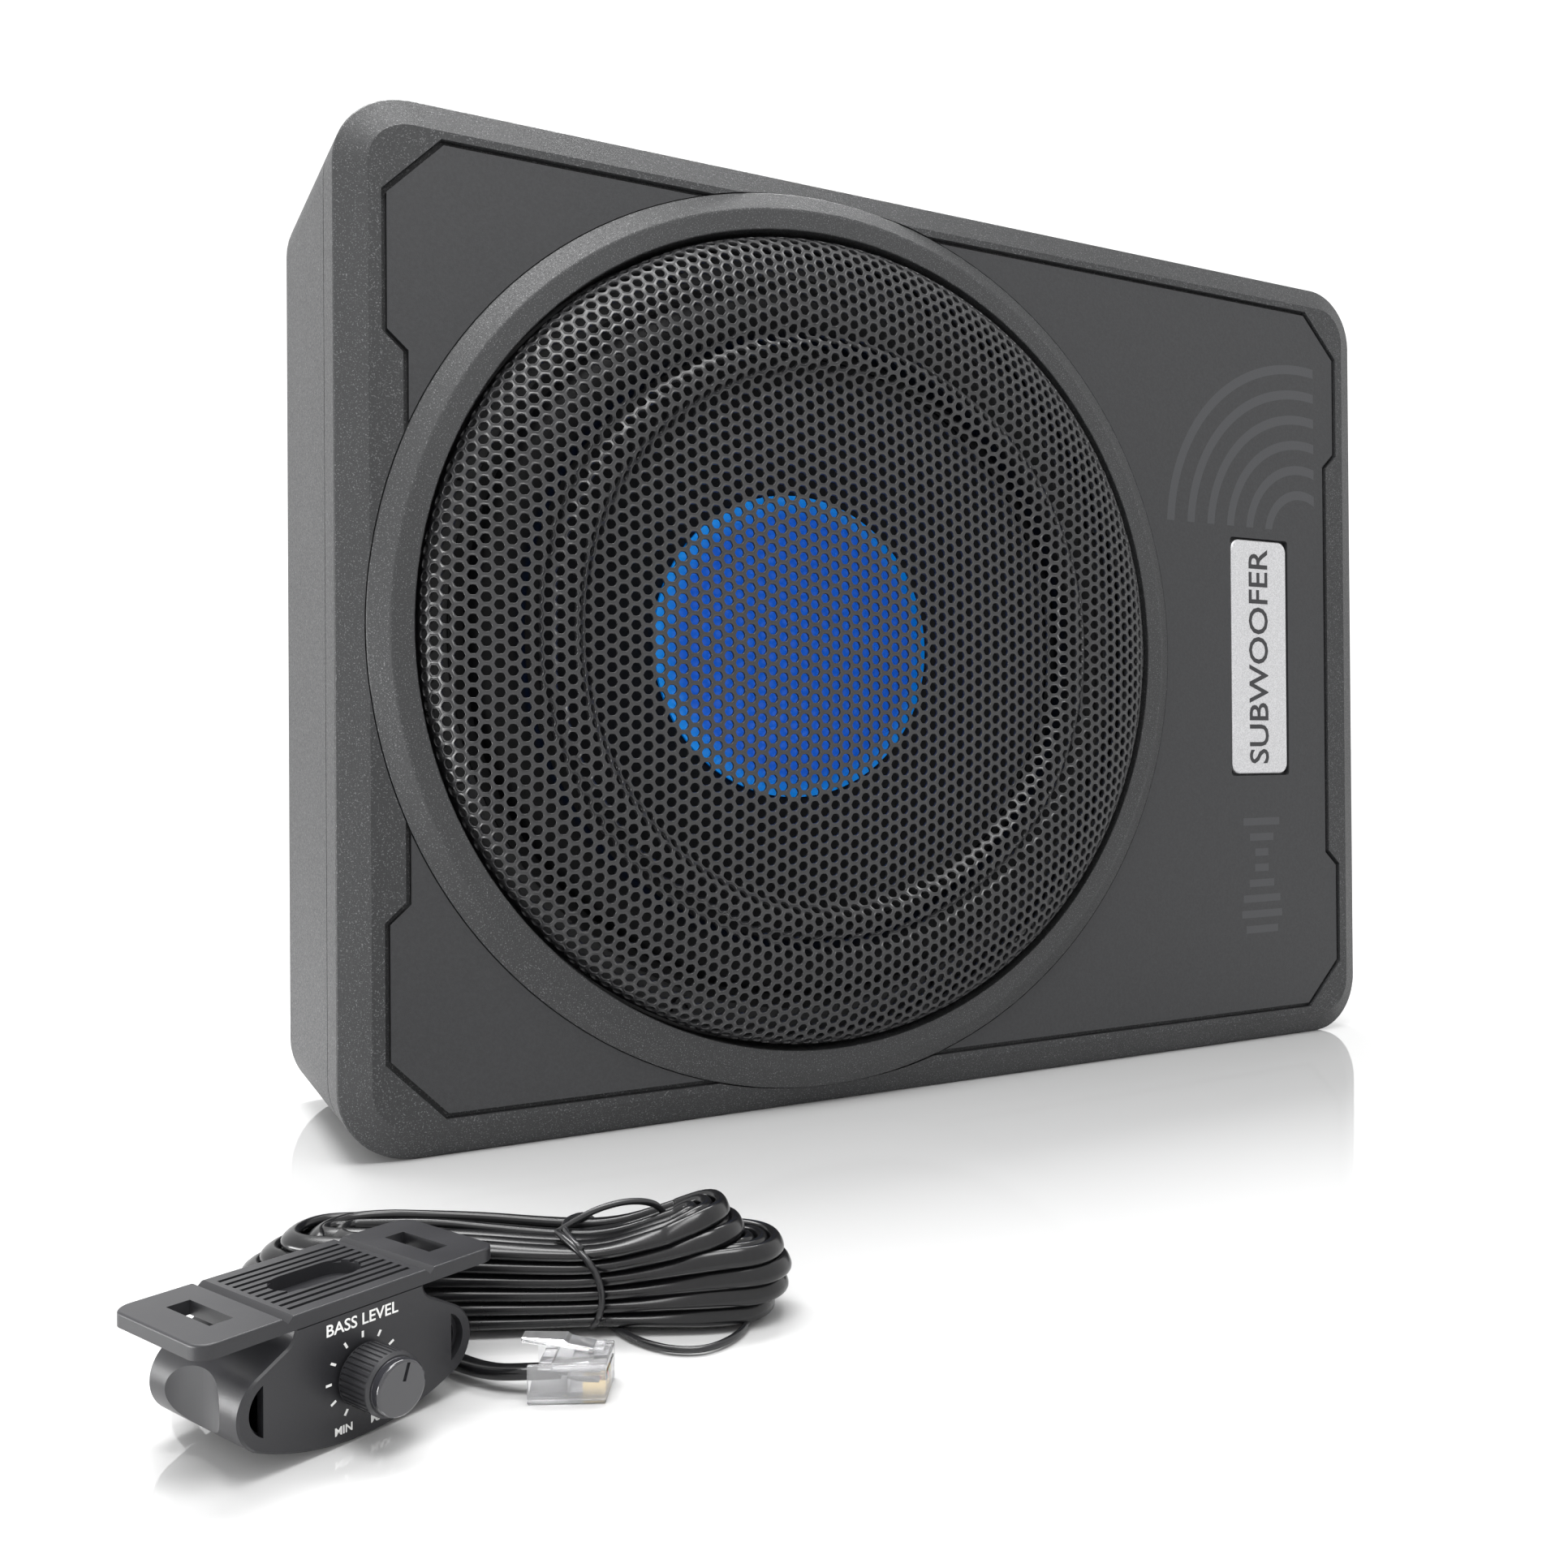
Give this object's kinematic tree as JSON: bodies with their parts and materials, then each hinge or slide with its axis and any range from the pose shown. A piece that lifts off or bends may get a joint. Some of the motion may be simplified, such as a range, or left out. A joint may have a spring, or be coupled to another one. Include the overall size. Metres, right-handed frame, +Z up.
{
  "type": "powered car subwoofer",
  "caption": "Flat powered car subwoofer with a domed round grille, control panel on its end, and a wired level control on a bundled cable.",
  "frame": {"origin": "middle of the long side that the box stands on", "axes": "+Z up from that side, +X along the box towards the control panel, -Y out of the grille"},
  "size_m": [0.416, 0.242, 0.27],
  "materials": {
    "cast_shell": "fine sandy dark grey paint on cast metal",
    "face_panel": "satin dark grey moulding",
    "badge_metal": "bead blasted",
    "grille_steel": "satin powder coat",
    "black_steel": "black coat",
    "zinc_steel": "zinc plated",
    "magnet_ferrite": "dull ferrite",
    "rubber_black": "soft black",
    "cone_pulp": "black coated paper",
    "cap_blue": "bright metallic blue",
    "spider_cloth": "phenolic cloth",
    "copper_coil": "enamelled copper",
    "foil_former": "plain foil",
    "board_green": "solder mask",
    "black_plastic": "fine texture",
    "brass_plain": "turned",
    "nickel": "plated",
    "fuse_plastic": "clear tinted",
    "light_lens": "diffuse lens",
    "remote_plastic": "fine matt moulding",
    "knob_gloss": "polished",
    "cable_vinyl": "satin vinyl",
    "clear_plastic": "clear polycarbonate",
    "tin_sleeve": "plain"
  },
  "bodies": {
    "enclosure": {"front_shell": "cast_shell", "rear_shell": "cast_shell", "shell_seal": "rubber_black", "shell_screws": "zinc_steel", "bracket_inserts": "brass_plain", "face_plate": "face_panel", "badge": "badge_metal", "trim_ring": "cast_shell", "grille": "grille_steel", "speaker_gasket": "rubber_black", "speaker_frame": "black_steel", "speaker_screws": "zinc_steel", "top_plate": "zinc_steel", "magnet": "magnet_ferrite", "yoke": "zinc_steel", "speaker_terminal": "black_plastic", "amplifier_board": "board_green", "board_standoffs": "brass_plain", "board_screws": "zinc_steel", "heat_sink": "foil_former", "power_transistors": "black_plastic", "power_transformer": "copper_coil", "output_coil": "copper_coil", "capacitors": "tin_sleeve", "control_panel": "black_plastic", "panel_screws": "zinc_steel", "level_pots": "black_plastic", "phase_switch_body": "black_plastic", "line_inputs": "nickel", "remote_socket": "black_plastic", "speaker_socket": "black_plastic", "speaker_socket_pins": "nickel", "power_terminal": "black_plastic", "terminal_screws": "nickel", "fuse_holder": "black_plastic", "fuses": "fuse_plastic", "signal_lights": "light_lens"},
    "speaker_cone": {"cone": "cone_pulp", "dust_cap": "cap_blue", "coil_former": "foil_former", "voice_coil": "copper_coil", "surround": "rubber_black", "spider": "spider_cloth"},
    "gain": {"gain_knob": "black_plastic"},
    "crossover": {"crossover_knob": "black_plastic"},
    "boost": {"boost_knob": "black_plastic"},
    "phase": {"phase_switch": "black_plastic"},
    "level_control": {"remote_housing": "remote_plastic", "remote_front": "remote_plastic", "remote_bracket": "remote_plastic", "remote_board": "board_green", "remote_pot": "black_plastic", "remote_jack": "black_plastic", "remote_cable": "cable_vinyl", "cable_hank": "cable_vinyl", "cable_tie": "rubber_black", "cable_plugs": "clear_plastic"},
    "level_knob": {"remote_knob": "black_plastic", "remote_knob_cap": "knob_gloss", "remote_shaft": "zinc_steel"}
  },
  "joints": [
    {"name": "cone_travel", "type": "slide", "parent": "enclosure", "child": "speaker_cone", "axis": [0, -1, 0], "range_m": [-0.006, 0.006], "stiffness_N_per_m": 4000, "deforming": ["surround", "spider"]},
    {"name": "gain_turn", "type": "hinge", "parent": "enclosure", "child": "gain", "pos_m": [0.175, -0.003, 0.15], "axis": [1, 0, 0], "range_deg": [-150, 150]},
    {"name": "crossover_turn", "type": "hinge", "parent": "enclosure", "child": "crossover", "pos_m": [0.175, -0.003, 0.172], "axis": [1, 0, 0], "range_deg": [-150, 150]},
    {"name": "boost_turn", "type": "hinge", "parent": "enclosure", "child": "boost", "pos_m": [0.175, -0.003, 0.194], "axis": [1, 0, 0], "range_deg": [-150, 150]},
    {"name": "phase_slide", "type": "slide", "parent": "enclosure", "child": "phase", "axis": [0, 0, 1], "range_m": [-0.0015, 0.0015]},
    {"name": "level_control_lift", "type": "slide", "parent": "enclosure", "child": "level_control", "axis": [0, 0, 1], "range_m": [0, 0.12]},
    {"name": "level_turn", "type": "hinge", "parent": "level_control", "child": "level_knob", "pos_m": [-0.1995, -0.1885, 0.0096], "axis": [0.4067, -0.9135, 0], "range_deg": [-135, 165]}
  ]
}
